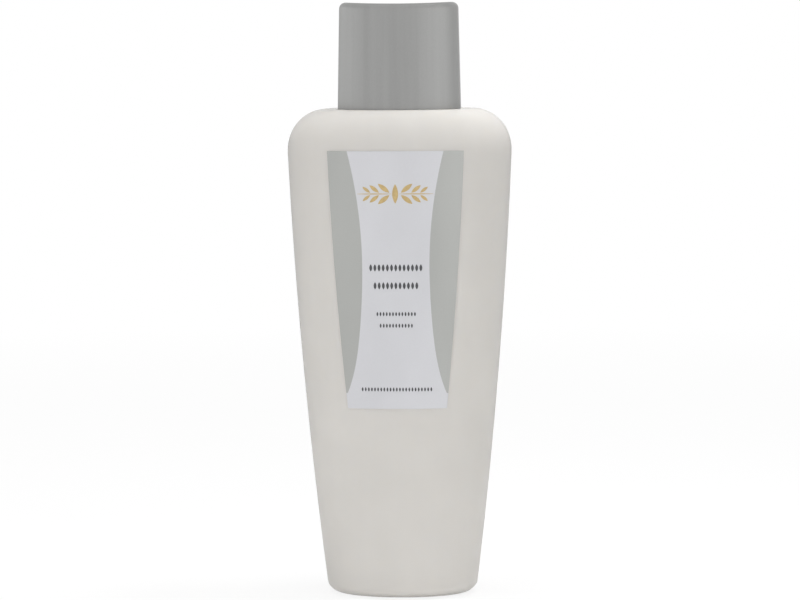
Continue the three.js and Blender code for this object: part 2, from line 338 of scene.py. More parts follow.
def with_seam(rings, angles):
    """The rings drawn in a little, less so on the seam."""
    made = []
    for ring in rings:
        drawn = []
        for angle, (x, y, z) in zip(angles, ring):
            reach = math.hypot(x, y)
            share = (reach - DRAWN_IN + SEAM_HEIGHT * seam_share(angle)) / reach
            drawn.append((x * share, y * share, z))
        made.append(drawn)
    return made


def neck_relief(angle, radius, z):
    bead = (NECK_BEAD_HALF - abs(z - NECK_BEAD_MIDDLE)) / (NECK_BEAD_HALF / 2)
    ridge = thread_share(angle, z, NECK_THREAD_FOOT, NECK_THREAD_TURNS)
    return NECK_BEAD * ease(clamp(bead)) + THREAD_HEIGHT * ridge


def neck_rings(angles):
    fillet_steps = 6
    top = NECK_RIM - NECK_ROUND
    wall = ((NECK_RADIUS, BODY_HEIGHT + NECK_ROOT), (NECK_RADIUS, top))
    outside = []
    for i in range(fillet_steps):
        angle = TURN / 4 * i / fillet_steps
        radius = NECK_RADIUS + NECK_ROOT * (1 - math.sin(angle))
        outside.append(circle(radius, BODY_HEIGHT + NECK_ROOT * (1 - math.cos(angle)), angles))
    for radius, z in run(*wall, THREAD_STEP):
        outside.append(circle(radius, z, angles, neck_relief))
    for i in range(fillet_steps + 1):
        angle = TURN / 4 * i / fillet_steps
        radius = NECK_RADIUS - NECK_ROUND * (1 - math.cos(angle))
        outside.append(circle(radius, top + NECK_ROUND * math.sin(angle), angles))
    inside = []
    for i in range(fillet_steps + 1):
        angle = TURN / 4 * i / fillet_steps
        radius = NECK_BORE + NECK_ROUND * (1 - math.sin(angle))
        inside.append(circle(radius, top + NECK_ROUND * math.cos(angle), angles))
    ceiling = BODY_HEIGHT - WALL
    for i in range(fillet_steps + 1):
        angle = TURN / 4 * i / fillet_steps
        radius = NECK_BORE + NECK_ROOT * (1 - math.cos(angle))
        inside.append(circle(radius, ceiling + NECK_ROOT * (1 - math.sin(angle)), angles))
    return outside + inside


def make_bottle():
    angles = bottle_angles()
    outside = base_rings(0.0, angles)
    outside += with_seam(wall_rings(0.0, angles, 2), angles)
    inside = base_rings(WALL, angles) + wall_rings(WALL, angles, 1)
    rings = outside + neck_rings(angles) + inside[::-1]
    skin_of = skin(rings, (0, 0, PUSH_UP), (0, 0, WALL + PUSH_UP))
    return mesh_piece("blown_bottle", *skin_of, "bottle", "frosted_plastic", "bottle_body")


def make_base_weld():
    """The pinched weld across the base panel that blow moulding leaves."""
    half_length = 7.4
    half_width = 0.45
    height = 0.35
    sink = 0.2
    end_power = 6  # how bluntly the weld ends
    end_size = 0.04
    tip = 1.005
    steps = 24
    sides = 8
    rings = []
    for i in range(steps + 1):
        share = 2 * i / steps - 1
        size = math.sqrt(max(end_size, 1 - share**end_power))
        ring = []
        for angle in even_angles(sides):
            depth = half_width * size * math.cos(angle)
            drop = (height * size if math.sin(angle) > 0 else sink) * math.sin(angle)
            ring.append((share * half_length, depth, PUSH_UP - drop))
        rings.append(ring)
    ends = [(side * half_length * tip, 0, PUSH_UP) for side in (-1, 1)]
    return mesh_piece("base_weld", *skin(rings, *ends), "bottle", "frosted_plastic")


# Pouring plug in the mouth of the neck

def make_plug():
    """A flange with a dished top, a sealing skirt and a short nozzle round the hole."""
    flange_low = NECK_RIM + PLUG_BOTTOM_GAP
    flange_radius = 7.4
    skirt_radius = 5.75
    skirt_inner = 4.75
    taper = 0.35
    taper_length = 0.7
    bead = 0.2
    bead_half = 0.3
    bead_heights = (1.3, 3.9)  # above the taper
    hole = 2.375
    nozzle_radius = 3.1
    nozzle_low = PLUG_HIGH - 3.05
    dish_radius = 4.6
    dish_low = PLUG_HIGH - 0.95
    web = 0.85  # thickness of the wall between the nozzle and the skirt
    web_low = flange_low - web
    corner = 0.3
    facets = 120
    beads = []
    for height in bead_heights:
        middle = PLUG_LOW + taper_length + height
        beads.append((skirt_radius, middle - bead_half))
        beads.append((skirt_radius + bead, middle))
        beads.append((skirt_radius, middle + bead_half))
    profile = rounded([
        (hole, nozzle_low),
        (nozzle_radius, nozzle_low),
        (nozzle_radius, web_low - web / 2),
        (skirt_inner, web_low),
        (skirt_inner, PLUG_LOW),
        (skirt_radius - taper, PLUG_LOW),
        (skirt_radius, PLUG_LOW + taper_length),
        *beads,
        (skirt_radius, flange_low),
        (flange_radius, flange_low),
        (flange_radius, PLUG_HIGH),
        (dish_radius, PLUG_HIGH),
        (hole, dish_low),
    ], corner)
    rings = [circle(radius, z, even_angles(facets)) for radius, z in profile]
    return mesh_piece("pouring_plug", *skin(rings), "bottle", "soft_plastic", "orifice_reducer")


# Cap

ARC_MIDDLE = 0.3  # how far a rounded corner's middle lies in from the sharp one, per radius


def make_seal():
    """A foam disc with the ring that the plug's flange has pressed into it."""
    corner = 0.2
    corner_cut = corner * ARC_MIDDLE
    press_depth = 0.1
    pressed = (4.7, 7.3)
    slope = 0.25
    facets = 120
    profile = [
        (pressed[0] - slope, SEAL_LOW),
        (pressed[0], SEAL_LOW + press_depth),
        (pressed[1], SEAL_LOW + press_depth),
        (pressed[1] + slope, SEAL_LOW),
        (SEAL_RADIUS - corner, SEAL_LOW),
        (SEAL_RADIUS - corner_cut, SEAL_LOW + corner_cut),
        (SEAL_RADIUS, SEAL_LOW + corner),
        (SEAL_RADIUS, SEAL_HIGH - corner),
        (SEAL_RADIUS - corner_cut, SEAL_HIGH - corner_cut),
        (SEAL_RADIUS - corner, SEAL_HIGH),
    ]
    rings = [circle(radius, z, even_angles(facets)) for radius, z in profile]
    skin_of = skin(rings, (0, 0, SEAL_LOW), (0, 0, SEAL_HIGH))
    return mesh_piece("sealing_disc", *skin_of, "seal", "seal_foam", "seal_liner")


CUP_BORE = 9.0
CUP_RADIUS = 9.9
CUP_FOOT_RADIUS = 10.2
CUP_FOOT = 1.0
CUP_SPLINES = 16
CUP_SPLINE_RADIUS = 10.3
CUP_SPLINE_HALF = 3.4  # degrees from the middle of a spline to its root
CUP_SPLINE_FLANK = 1.6  # degrees over which it rises
CUP_SPLINE_LOW = CUP_LOW + 0.5
CUP_SPLINE_HIGH = CUP_HIGH - 0.9
CUP_SPLINE_RUN_OUT = 0.3
CUP_SPLINE_FACETS = 14
SAME_RADIUS = 0.01


def cup_relief(angle, radius, z):
    """Screw ridges in the bore and upright splines on the outside."""
    if radius < CUP_BORE + SAME_RADIUS:
        foot = NECK_THREAD_FOOT - CAP_THREAD_DROP
        return -THREAD_HEIGHT * thread_share(angle, z, foot, CAP_THREAD_TURNS)
    if radius < CUP_RADIUS - SAME_RADIUS:
        return 0.0
    pitch = 360 / CUP_SPLINES
    from_spline = abs(math.degrees(angle) % pitch - pitch / 2)
    flank = clamp((CUP_SPLINE_HALF - from_spline) / CUP_SPLINE_FLANK)
    ends = clamp(min(z - CUP_SPLINE_LOW, CUP_SPLINE_HIGH - z) / CUP_SPLINE_RUN_OUT)
    return (CUP_SPLINE_RADIUS - radius) * flank * ends


def make_cup():
    """Inner closure: screw thread inside, keeper lip for the disc, splines outside."""
    ceiling = CUP_HIGH - 1.2
    ceiling_corner, ceiling_cut = 0.4, 0.1
    keeper = SEAL_LOW - 0.5
    keeper_radius = 8.4
    keeper_half = 0.4
    keeper_edge, keeper_edge_half = 0.05, 0.13  # rounding of the lip's inner edge
    lead_in = 0.5
    lead_in_edge, lead_in_lift = lead_in * 0.9, 0.04
    foot_corner = 0.15
    foot_top = CUP_LOW + CUP_FOOT
    foot_slope = 0.3
    side_step = 0.3
    corner = 0.6
    corner_cut = corner * ARC_MIDDLE
    bore_foot = (CUP_BORE, CUP_LOW + lead_in)
    side_top = (CUP_RADIUS, CUP_HIGH - corner)
    profile = [
        (CUP_BORE - ceiling_corner, ceiling),
        (CUP_BORE - ceiling_cut, ceiling - ceiling_cut),
        (CUP_BORE, ceiling - ceiling_corner),
        (CUP_BORE, keeper + keeper_half),
        (keeper_radius + keeper_edge, keeper + keeper_edge_half),
        (keeper_radius, keeper),
        (keeper_radius + keeper_edge, keeper - keeper_edge_half),
        *run((CUP_BORE, keeper - keeper_half), bore_foot, THREAD_STEP),
        bore_foot,
        (CUP_BORE + lead_in_edge, CUP_LOW + lead_in_lift),
        (CUP_BORE + lead_in, CUP_LOW),
        (CUP_FOOT_RADIUS - foot_corner, CUP_LOW),
        (CUP_FOOT_RADIUS, CUP_LOW + foot_corner),
        (CUP_FOOT_RADIUS, foot_top),
        *run((CUP_RADIUS, foot_top + foot_slope), side_top, side_step),
        side_top,
        (CUP_RADIUS - corner_cut, CUP_HIGH - corner_cut),
        (CUP_RADIUS - corner, CUP_HIGH),
    ]
    angles = even_angles(CUP_SPLINES * CUP_SPLINE_FACETS)
    rings = [circle(radius, z, angles, cup_relief) for radius, z in profile]
    skin_of = skin(rings, (0, 0, ceiling), (0, 0, CUP_HIGH))
    return mesh_piece("threaded_cup", *skin_of, "cap", "white_plastic", "cap_insert")


def scoop_depth(x):
    """How far the top dips between its left and right edges."""
    return COVER_SCOOP * (1 - (x / COVER_TOP_HALF_WIDTH) ** 2)


def cover_ring(share, inset, z, angles, scooped=False):
    """A ring of the cap's cover; share runs from the rim to the foot of the top rounding."""
    half_width = lerp(COVER_RIM_HALF_WIDTH, COVER_TOP_HALF_WIDTH, share) - inset
    half_depth = lerp(COVER_RIM_HALF_DEPTH, COVER_TOP_HALF_DEPTH, share) - inset
    ring = plan_ring(half_width, half_depth, COVER_SQUARENESS, z, angles)
    if scooped:
        ring = [(x, y, height - scoop_depth(x)) for x, y, height in ring]
    return ring


def cover_skin():
    """The cover from the middle of its ceiling, round the rim, to the middle of its top."""
    facets = 192
    angles = even_angles(facets)
    edge_steps = 12
    top_steps = 8
    wall_steps = 10
    rim_steps = 5
    top = COVER_LOW + COVER_HEIGHT
    wall_top = top - COVER_EDGE
    ceiling = top - COVER_TOP_WALL
    inner_edge = COVER_EDGE / 2
    ceiling_reach = COVER_TOP_HALF_DEPTH - COVER_WALL - inner_edge
    top_reach = COVER_TOP_HALF_DEPTH - COVER_EDGE
    rings = []
    for i in range(1, top_steps):
        inset = COVER_WALL + inner_edge + ceiling_reach * (1 - i / top_steps)
        rings.append(cover_ring(1, inset, ceiling, angles, True))
    for i in range(edge_steps + 1):
        angle = TURN / 4 * i / edge_steps
        inset = COVER_WALL + inner_edge * (1 - math.sin(angle))
        z = ceiling - inner_edge * (1 - math.cos(angle))
        rings.append(cover_ring(1, inset, z, angles, True))
    wall_foot = COVER_LOW - COVER_RIM_DROP + COVER_RIM_ROUND
    inner_top = ceiling - COVER_SCOOP - COVER_EDGE
    for i in range(wall_steps, -1, -1):
        share = i / wall_steps
        rings.append(cover_ring(share, COVER_WALL, lerp(wall_foot, inner_top, share), angles))
    for i in range(1, 2 * rim_steps):
        angle = TURN / 2 * i / (2 * rim_steps)
        across = math.cos(angle)
        inset = COVER_RIM_ROUND if across < 0 else COVER_WALL - COVER_RIM_ROUND
        inset += COVER_RIM_ROUND * across
        rings.append(cover_ring(0, inset, wall_foot - COVER_RIM_ROUND * math.sin(angle), angles))
    for i in range(wall_steps):
        share = i / wall_steps
        rings.append(cover_ring(share, 0, lerp(wall_foot, wall_top, share), angles))
    for i in range(edge_steps + 1):
        angle = TURN / 4 * i / edge_steps
        inset = COVER_EDGE * (1 - math.cos(angle))
        z = wall_top + COVER_EDGE * math.sin(angle)
        ring = cover_ring(1, inset, z, angles)
        dip = math.sin(angle)
        rings.append([(x, y, height - dip * scoop_depth(x)) for x, y, height in ring])
    for i in range(1, top_steps):
        rings.append(cover_ring(1, COVER_EDGE + top_reach * i / top_steps, top, angles, True))
    return skin(rings, (0, 0, ceiling - COVER_SCOOP), (0, 0, top - COVER_SCOOP))


def rib_prism(offset):
    """A moulded rib: an arch over the threaded cup that follows the scooped top."""
    top_steps = 16
    fit_gap = 0.3
    clear = CUP_SPLINE_RADIUS + fit_gap
    near = max(abs(offset) - RIB_THICKNESS / 2, 0.0)
    notch = math.sqrt(clear**2 - near**2)
    notch_top = CUP_HIGH + fit_gap
    foot = COVER_LOW + RIB_FOOT
    sunk_top = COVER_LOW + COVER_HEIGHT - COVER_TOP_WALL + RIB_SINK
    outline = [
        (-RIB_REACH, foot),
        (-notch, foot),
        (-notch, notch_top),
        (notch, notch_top),
        (notch, foot),
    ]
    for i in range(top_steps + 1):
        x = RIB_REACH * (1 - 2 * i / top_steps)
        if i == 0:
            outline.append((x, foot))
        outline.append((x, sunk_top - scoop_depth(x)))
    count = len(outline)
    points = []
    for side in (-1, 1):
        points += [(x, offset + side * RIB_THICKNESS / 2, z) for x, z in outline]
    faces = [tuple(range(count)), tuple(range(2 * count - 1, count - 1, -1))]
    for i in range(count):
        j = (i + 1) % count
        faces.append((j, i, count + i, count + j))
    return points, faces


def make_cover():
    """The cover with its ribs fused on."""
    cover = mesh_piece("cap_cover", *cover_skin(), "cap", "silver_plastic", "cap_shell")
    for number, offset in enumerate(RIB_OFFSETS):
        rib = mesh_piece(f"rib_{number}", *rib_prism(offset), None, None)
        fuse = cover.modifiers.new(rib.name, "BOOLEAN")
        fuse.operation = "UNION"
        fuse.solver = "EXACT"
        fuse.object = rib
    shapes = bpy.context.evaluated_depsgraph_get()
    fused = bpy.data.meshes.new_from_object(cover.evaluated_get(shapes))
    for fuse in list(cover.modifiers):
        rib = fuse.object
        cover.modifiers.remove(fuse)
        bpy.data.objects.remove(rib)
    cover.data = fused
    fused.polygons.foreach_set("use_smooth", [True] * len(fused.polygons))
    fused.set_sharp_from_angle(angle=SHARP_EDGE)
    return cover


# Label

def label_point(x, z, proud):
    """A point of the body's front at a place seen from straight ahead, lifted by proud."""
    power = body_squareness(z)
    across = abs(x) / body_half_width(z)
    face = body_half_depth(z) * (1 - across**power) ** (1 / power)
    return (x, -face + DRAWN_IN - proud, z)


def label_half_width(z):
    share = (z - LABEL_LOW) / (LABEL_HIGH - LABEL_LOW)
    bow = LABEL_SIDE_BOW * 4 * share * (1 - share)
    return lerp(LABEL_LOW_HALF_WIDTH, LABEL_HIGH_HALF_WIDTH, share) + bow


def panel_half_width(z):
    """The pale panel is an hourglass between two grey bands that run out at the bottom."""
    if z > PANEL_WAIST_Z:
        share = (z - PANEL_WAIST_Z) / (LABEL_HIGH - PANEL_WAIST_Z)
        return lerp(PANEL_WAIST, PANEL_HIGH_HALF_WIDTH, share**2)
    share = clamp((PANEL_WAIST_Z - z) / (PANEL_WAIST_Z - BAND_TIP_Z))
    flare = (share**2 + share**6) / 2
    return lerp(PANEL_WAIST, label_half_width(z) - LEAST_BAND, flare)


def sheet_solid(grid, low_proud, high_proud):
    """Points and faces of a thin sheet on the body's front over a grid of (x, z) rows."""
    rows, columns = len(grid), len(grid[0])
    points = []
    for proud in (high_proud, low_proud):
        points += [label_point(x, z, proud) for row in grid for x, z in row]
    back = rows * columns
    faces = []
    for r in range(rows - 1):
        for c in range(columns - 1):
            a = r * columns + c
            corners = (a, a + 1, a + columns + 1, a + columns)
            faces.append(corners)
            faces.append(tuple(back + i for i in reversed(corners)))
    edge = [(0, c) for c in range(columns - 1)]
    edge += [(r, columns - 1) for r in range(rows - 1)]
    edge += [(rows - 1, c) for c in range(columns - 1, 0, -1)]
    edge += [(r, 0) for r in range(rows - 1, 0, -1)]
    for here, there in zip(edge, edge[1:] + edge[:1]):
        i = here[0] * columns + here[1]
        j = there[0] * columns + there[1]
        faces.append((j, i, back + i, back + j))
    return points, faces


BAND_COLUMNS = 8
PANEL_COLUMNS = 28
LABEL_ROWS = 100


def make_label():
    grid = []
    for r in range(LABEL_ROWS + 1):
        z = lerp(LABEL_LOW, LABEL_HIGH, r / LABEL_ROWS)
        outer = label_half_width(z)
        inner = panel_half_width(z)
        half = [lerp(outer, inner, c / BAND_COLUMNS) for c in range(BAND_COLUMNS)]
        middle = [lerp(-inner, inner, c / PANEL_COLUMNS) for c in range(PANEL_COLUMNS + 1)]
        row = [-x for x in half] + middle + half[::-1]
        grid.append([(x, z) for x in row])
    top = LABEL_STANDOFF + LABEL_THICKNESS
    skin_of = sheet_solid(grid, LABEL_STANDOFF, top)
    label = mesh_piece("label_sheet", *skin_of, "bottle", "label_film", "front_label")
    columns = len(grid[0]) - 1
    for r in range(LABEL_ROWS):
        above_tip = grid[r][0][1] >= BAND_TIP_Z
        for c in range(columns):
            in_band = c < BAND_COLUMNS or c >= columns - BAND_COLUMNS
            front_face = label.data.polygons[2 * (r * columns + c)]
            front_face.material_index = int(in_band and above_tip)
    return label


PRINT_THICKNESS = 0.02
PRINT_SINK = 0.01  # how far the print reaches into the film
TIP = 0.03  # half width of a printed stroke at its tips


def stroke(middle, angle, half_length, half_width, steps=20):
    """Points and faces of a printed leaf shape, pointed at both ends, about its middle."""
    along = (math.cos(angle), math.sin(angle))
    grid = []
    for side in (-1, 0, 1):
        row = []
        for i in range(steps + 1):
            share = 2 * i / steps - 1
            across = side * (TIP + (half_width - TIP) * (1 - share**2))
            reach = share * half_length
            row.append((
                middle[0] + along[0] * reach - along[1] * across,
                middle[1] + along[1] * reach + along[0] * across,
            ))
        grid.append(row)
    low = LABEL_STANDOFF + LABEL_THICKNESS
    return sheet_solid(grid, low - PRINT_SINK, low + PRINT_THICKNESS)


def join(shapes):
    points = []
    faces = []
    for more_points, more_faces in shapes:
        first = len(points)
        points += more_points
        faces += [tuple(first + i for i in face) for face in more_faces]
    return points, faces


SPRIG_Z = 98.2
SPRIG_STEM = (5.0, 4.1, 0.13)  # middle, half length and half width of one half of the stem
SPRIG_BUD = (2.3, 0.713)  # half height and half width
SPRIG_LEAVES = (2.75, 5.0, 6.9)  # where the leaf pairs stand along the stem
SPRIG_LEAF = (1.7, 0.56)  # half length and half width of the largest leaf
SPRIG_SHRINK = 0.17  # each next pair is smaller by this share of the first
SPRIG_LEAF_GAP = 0.3  # between a leaf and the stem
SPRIG_TILT = math.radians(38)


def make_ornament():
    """A gold sprig in the place of the label's heading: a bud between two leafy stems."""
    shapes = [stroke((0, SPRIG_Z), TURN / 4, *SPRIG_BUD)]
    middle, half_length, half_width = SPRIG_STEM
    for side in (-1, 1):
        shapes.append(stroke((side * middle, SPRIG_Z), 0.0, half_length, half_width))
        for number, place in enumerate(SPRIG_LEAVES):
            size = 1 - SPRIG_SHRINK * number
            length, width = SPRIG_LEAF[0] * size, SPRIG_LEAF[1] * size
            for up in (-1, 1):
                tilt = SPRIG_TILT if side * up > 0 else math.pi - SPRIG_TILT
                lift = SPRIG_LEAF_GAP + length * math.sin(SPRIG_TILT)
                shapes.append(stroke((side * place, SPRIG_Z + up * lift), tilt, length, width))
    return mesh_piece("label_ornament", *join(shapes), "bottle", "label_film")


# Height, count, pitch, half height and half width of each row of printed beads
BEAD_ROWS = (
    (80.5, 13, 1.0, 0.85, 0.34),
    (76.2, 11, 1.0, 0.85, 0.34),
    (69.4, 13, 0.75, 0.5, 0.22),
    (66.6, 11, 0.75, 0.5, 0.22),
    (51.2, 23, 0.75, 0.5, 0.22),
)


def make_bead_rows():
    """Rows of dark pointed beads in the places of the label's smaller print."""
    steps = 8
    rows = []
    for number, (z, count, pitch, half_height, half_width) in enumerate(BEAD_ROWS):
        shapes = []
        for i in range(count):
            x = (i - (count - 1) / 2) * pitch
            shapes.append(stroke((x, z), TURN / 4, half_height, half_width, steps))
        rows.append(mesh_piece(f"bead_row_{number}", *join(shapes), "bottle", "label_film"))
    return rows


# Finishes

WHITE = (1.0, 1.0, 1.0)
NOISE_MIDDLE = (0.3, 0.7)  # most values of a noise lie between these
NOISE_ROUGHNESS = 0.55


def add_node(tree, kind, inputs, **settings):
    """A node with its inputs set to values or linked to the sockets given."""
    node = tree.nodes.new(kind)
    for key, value in settings.items():
        setattr(node, key, value)
    for key, value in inputs.items():
        if isinstance(value, bpy.types.NodeSocket):
            tree.links.new(value, node.inputs[key])
        else:
            node.inputs[key].default_value = value
    return node


def new_finish(name, **sockets):
    """A material round one Principled shader, with the constant sockets set."""
    material = bpy.data.materials.new(name)
    material.use_nodes = True
    shader = material.node_tree.nodes["Principled BSDF"]
    for key, value in sockets.items():
        shader.inputs[key.replace("_", " ")].default_value = value
    return material, material.node_tree, shader


def shade(colour, factor):
    return tuple(value * factor for value in colour)


def opaque(colour):
    return (*colour, 1.0)


def coordinate(tree, kind="Object"):
    """Where a point lies on its object, in metres, or for Normal which way its surface faces."""
    return add_node(tree, "ShaderNodeTexCoord", {}).outputs[kind]


def upright_part(tree, kind):
    """The Z part of a coordinate: height for Object, and for Normal how far a surface faces up."""
    return add_node(tree, "ShaderNodeSeparateXYZ", {0: coordinate(tree, kind)}).outputs["Z"]


def noise(tree, scale, detail=3.0, upright=1.0):
    """Noise in cycles per metre; a small upright share draws it out into upright streaks."""
    mapping = add_node(tree, "ShaderNodeMapping", {
        "Vector": coordinate(tree),
        "Scale": (1.0, 1.0, upright),
    })
    made = add_node(tree, "ShaderNodeTexNoise", {
        "Vector": mapping.outputs["Vector"],
        "Scale": scale,
        "Detail": detail,
        "Roughness": NOISE_ROUGHNESS,
    })
    return made.outputs["Fac"]


def ramp(tree, factor, stops):
    """A colour ramp over (place, colour) stops."""
    node = add_node(tree, "ShaderNodeValToRGB", {"Fac": factor})
    elements = node.color_ramp.elements
    for element, (place, colour) in zip(elements, stops, strict=True):
        element.position = place
        element.color = opaque(colour)
    return node.outputs["Color"]


def tones(tree, factor, colour, low, high):
    """A colour that runs from low to high times the one given, over the middle of a noise."""
    ends = zip(NOISE_MIDDLE, (low, high))
    return ramp(tree, factor, [(place, shade(colour, share)) for place, share in ends])


def span_over(tree, factor, source, target):
    """A number that runs between the target ends as the factor runs between the source ends."""
    node = add_node(tree, "ShaderNodeMapRange", {
        "Value": factor,
        "From Min": source[0],
        "From Max": source[1],
        "To Min": target[0],
        "To Max": target[1],
    })
    return node.outputs["Result"]


def span(tree, factor, low, high):
    """A number that runs from low to high over the middle of a noise."""
    return span_over(tree, factor, NOISE_MIDDLE, (low, high))


def combined(tree, operation, first, second):
    """Two numbers put together by a math operation."""
    node = add_node(tree, "ShaderNodeMath", {0: first, 1: second}, operation=operation)
    return node.outputs[0]


def multiplied(tree, first, second):
    """One colour times another."""
    node = add_node(
        tree, "ShaderNodeMixRGB", {"Fac": 1.0, "Color1": first, "Color2": second},
        blend_type="MULTIPLY",
    )
    return node.outputs["Color"]


def bump(tree, heights):
    """Bump nodes in a chain, one for each (height, distance in millimetres, strength)."""
    normal = None
    for height, distance, strength in heights:
        inputs = {"Height": height, "Distance": distance * MM, "Strength": strength}
        if normal:
            inputs["Normal"] = normal
        normal = add_node(tree, "ShaderNodeBump", inputs).outputs["Normal"]
    return normal


def dress(shader, tree, colour, roughness, normal):
    tree.links.new(colour, shader.inputs["Base Color"])
    tree.links.new(roughness, shader.inputs["Roughness"])
    tree.links.new(normal, shader.inputs["Normal"])


FROSTED = (0.675, 0.65, 0.614)
SILVER = (0.34, 0.341, 0.336)
SOFT = (0.74, 0.75, 0.72)
CUP_WHITE = (0.8, 0.8, 0.77)
LABEL_PALE = (0.56, 0.562, 0.584)
LABEL_GREY = (0.397, 0.402, 0.388)
GOLD = (0.5, 0.37, 0.17)
INK = (0.055, 0.055, 0.06)
FOAM_CELL = (0.74, 0.73, 0.69)
FOAM_WALL = (0.86, 0.855, 0.82)
COAT_IOR = 1.012  # so low that it adds no gloss and only greys a surface seen edge-on, a painted shade along the outline
# tint that greys the bottle's outline seen edge-on: painted shade
FROSTED_OUTLINE_SHADE_TINT = 0.945
# tint that greys the cap's outline seen edge-on: painted shade
SILVER_OUTLINE_SHADE_TINT = 0.95
WALL_TO_TOP = (0.2, 0.9)  # how far a surface faces up, from a wall to a level top
OUTLINE_SHADE_BY_FACING = (1.0, 0.5)
SHEEN_BY_FACING = (0.15, 0.3)
OUTLINE_SHADE_FADE_HEIGHTS = (0.0, 0.09)  # metres above the base
OUTLINE_SHADE_FADE = (0.3, 1.0)  # the painted-shade grey rim of the wall is fainter towards the base
BASE_TONE = 0.97  # colour a little darker towards the base, evening out the faces where the painted-shade rim is fainter
ROUGHNESS_SPREAD = 0.05


def frosted_plastic():
    """Milky satin plastic with a grey rim along its outline: partly the wall's own absorption,
    partly painted shade standing in for dark surroundings at the sides.
    """
    material, tree, shader = new_finish(
        "frosted_plastic", Diffuse_Roughness=0.6, Subsurface_Weight=0.35, Subsurface_Scale=0.004,
        Subsurface_Radius=(1.0, 0.92, 0.8), Coat_IOR=COAT_IOR,
        Coat_Tint=opaque(shade(WHITE, FROSTED_OUTLINE_SHADE_TINT)),
    )
    facing_up = upright_part(tree, "Normal")
    height = upright_part(tree, "Object")
    sheen = span_over(tree, facing_up, WALL_TO_TOP, SHEEN_BY_FACING)
    # weight of the greying layer: painted shade along the outline, full on walls, half on level
    # tops, fainter towards the base
    outline_shade = combined(
        tree, "MULTIPLY",
        span_over(tree, facing_up, WALL_TO_TOP, OUTLINE_SHADE_BY_FACING),
        span_over(tree, height, OUTLINE_SHADE_FADE_HEIGHTS, OUTLINE_SHADE_FADE),
    )
    tree.links.new(sheen, shader.inputs["Specular IOR Level"])
    tree.links.new(outline_shade, shader.inputs["Coat Weight"])
    clouds = tones(tree, noise(tree, 45.0), FROSTED, 0.975, 1.02)
    flow = tones(tree, noise(tree, 160.0, detail=2.0, upright=0.06), WHITE, 0.985, 1.0)
    evened = span_over(tree, height, OUTLINE_SHADE_FADE_HEIGHTS, (BASE_TONE, 1.0))
    colour = multiplied(tree, multiplied(tree, clouds, flow), evened)
    ripple = noise(tree, 110.0, detail=2.0)
    grain = noise(tree, 5200.0, detail=2.0)
    normal = bump(tree, [(ripple, 0.12, 0.25), (grain, 0.012, 0.3)])
    dress(shader, tree, colour, span(tree, noise(tree, 700.0), 0.4, 0.5), normal)
    return material


def silver_plastic():
    """Satin silver with faint upright streaks and fine flakes, and an outline greyed where it is
    seen edge-on, a painted shade.
    """
    material, tree, shader = new_finish(
        "silver_plastic", Metallic=0.8, Specular_IOR_Level=0.3, Diffuse_Roughness=1.0,
        Coat_Weight=1.0, Coat_IOR=COAT_IOR, Coat_Tint=opaque(shade(WHITE, SILVER_OUTLINE_SHADE_TINT)),
    )
    streaks = noise(tree, 420.0, detail=4.0, upright=0.025)
    flakes = noise(tree, 9000.0, detail=1.0)
    glint = ramp(tree, flakes, [(0.35, shade(WHITE, 0.94)), (0.75, shade(WHITE, 1.05))])
    colour = multiplied(tree, tones(tree, streaks, SILVER, 0.94, 1.05), glint)
    lines = noise(tree, 2600.0, detail=2.0, upright=0.02)
    normal = bump(tree, [(lines, 0.02, 0.12), (noise(tree, 300.0), 0.05, 0.15)])
    dress(shader, tree, colour, span(tree, streaks, 0.42, 0.5), normal)
    return material


def label_film(name, colour, metallic):
    material, tree, shader = new_finish(name, Metallic=metallic, Specular_IOR_Level=0.25)
    sheen = noise(tree, 60.0, detail=2.0, upright=0.35)
    fibres = noise(tree, 3800.0)
    tone = multiplied(
        tree,
        tones(tree, sheen, colour, 0.965, 1.03),
        tones(tree, fibres, WHITE, 0.97, 1.0),
    )
    normal = bump(tree, [(noise(tree, 180.0), 0.03, 0.2), (fibres, 0.006, 0.2)])
    dress(shader, tree, tone, span(tree, sheen, 0.34, 0.44), normal)
    return material


def about(tree, factor, rough):
    """A roughness that varies a little about the one given."""
    return span(tree, factor, rough - ROUGHNESS_SPREAD, rough + ROUGHNESS_SPREAD)


def printed_ink(name, colour, metallic, rough):
    material, tree, shader = new_finish(name, Metallic=metallic)
    spread = noise(tree, 1400.0)
    tone = tones(tree, spread, colour, 0.88, 1.08)
    normal = bump(tree, [(noise(tree, 4200.0), 0.006, 0.25)])
    dress(shader, tree, tone, about(tree, spread, rough), normal)
    return material


def moulded_plastic(name, colour, rough, **sockets):
    material, tree, shader = new_finish(name, **sockets)
    clouds = noise(tree, 260.0)
    tone = tones(tree, clouds, colour, 0.96, 1.02)
    grain = noise(tree, 6000.0, detail=2.0)
    normal = bump(tree, [(clouds, 0.03, 0.2), (grain, 0.008, 0.25)])
    dress(shader, tree, tone, about(tree, clouds, rough), normal)
    return material


def seal_foam():
    material, tree, shader = new_finish("seal_foam")
    cells = add_node(
        tree, "ShaderNodeTexVoronoi", {"Vector": coordinate(tree), "Scale": 3200.0}
    ).outputs["Distance"]
    tone = ramp(tree, cells, [(0.0, FOAM_CELL), (0.5, FOAM_WALL)])
    normal = bump(tree, [(cells, 0.05, 0.5)])
    dress(shader, tree, tone, span(tree, noise(tree, 500.0), 0.75, 0.9), normal)
    return material


# Build and dress

bottle = make_bottle()
weld = make_base_weld()
plug = make_plug()
seal = make_seal()
cup = make_cup()
cover = make_cover()
label = make_label()
ornament = make_ornament()
bead_rows = make_bead_rows()

